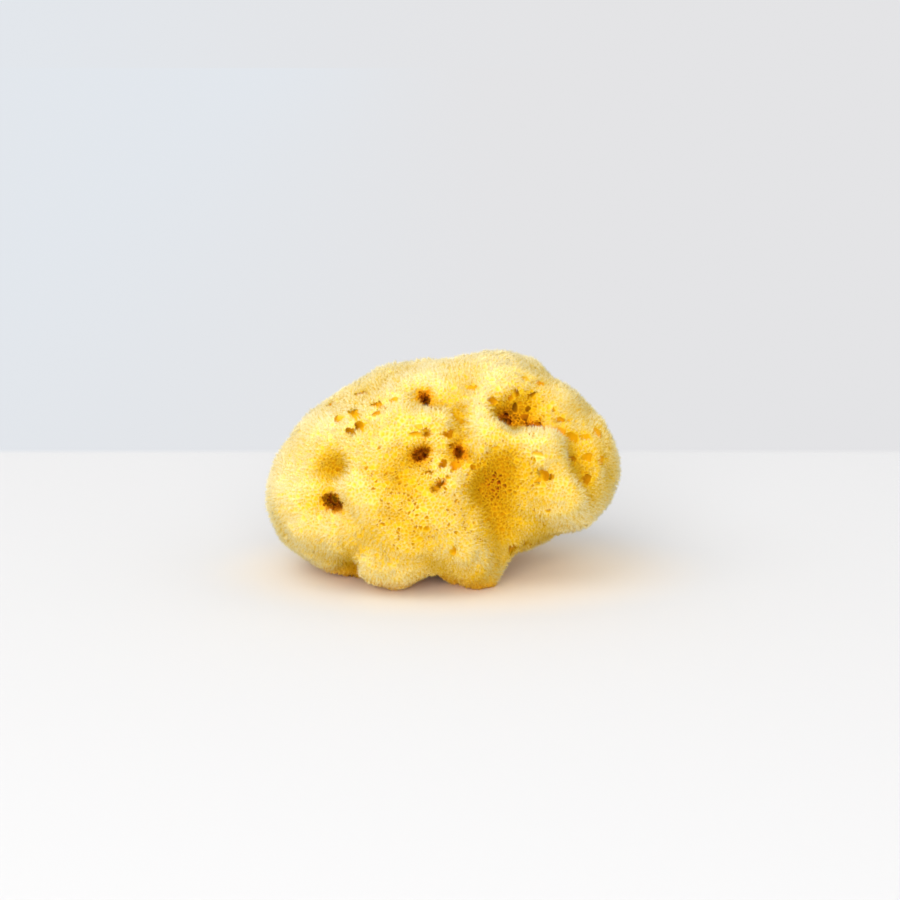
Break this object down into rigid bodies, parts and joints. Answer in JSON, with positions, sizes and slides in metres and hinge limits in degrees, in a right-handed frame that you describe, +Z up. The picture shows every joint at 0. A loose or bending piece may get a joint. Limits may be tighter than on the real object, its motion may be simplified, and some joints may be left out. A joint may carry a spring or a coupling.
{
  "type": "sea sponge",
  "caption": "Natural bath sponge, one dried piece with rounded lobes, valleys, deep outlets and clustered holes, resting on its flattened underside.",
  "frame": {"origin": "middle of the sponge's box in X and Y, on the surface that it rests on", "axes": "+X along the longest side, to the right in the picture's view; +Y away from the picture's viewer; +Z up"},
  "size_m": [0.1384, 0.098, 0.0894],
  "materials": {
    "sponge": "dry, matt, soft spongin fibre: pale cream tips, golden yellow between them, orange brown inside the outlets"
  },
  "bodies": {
    "root": {"sponge": "sponge"}
  },
  "joints": []
}
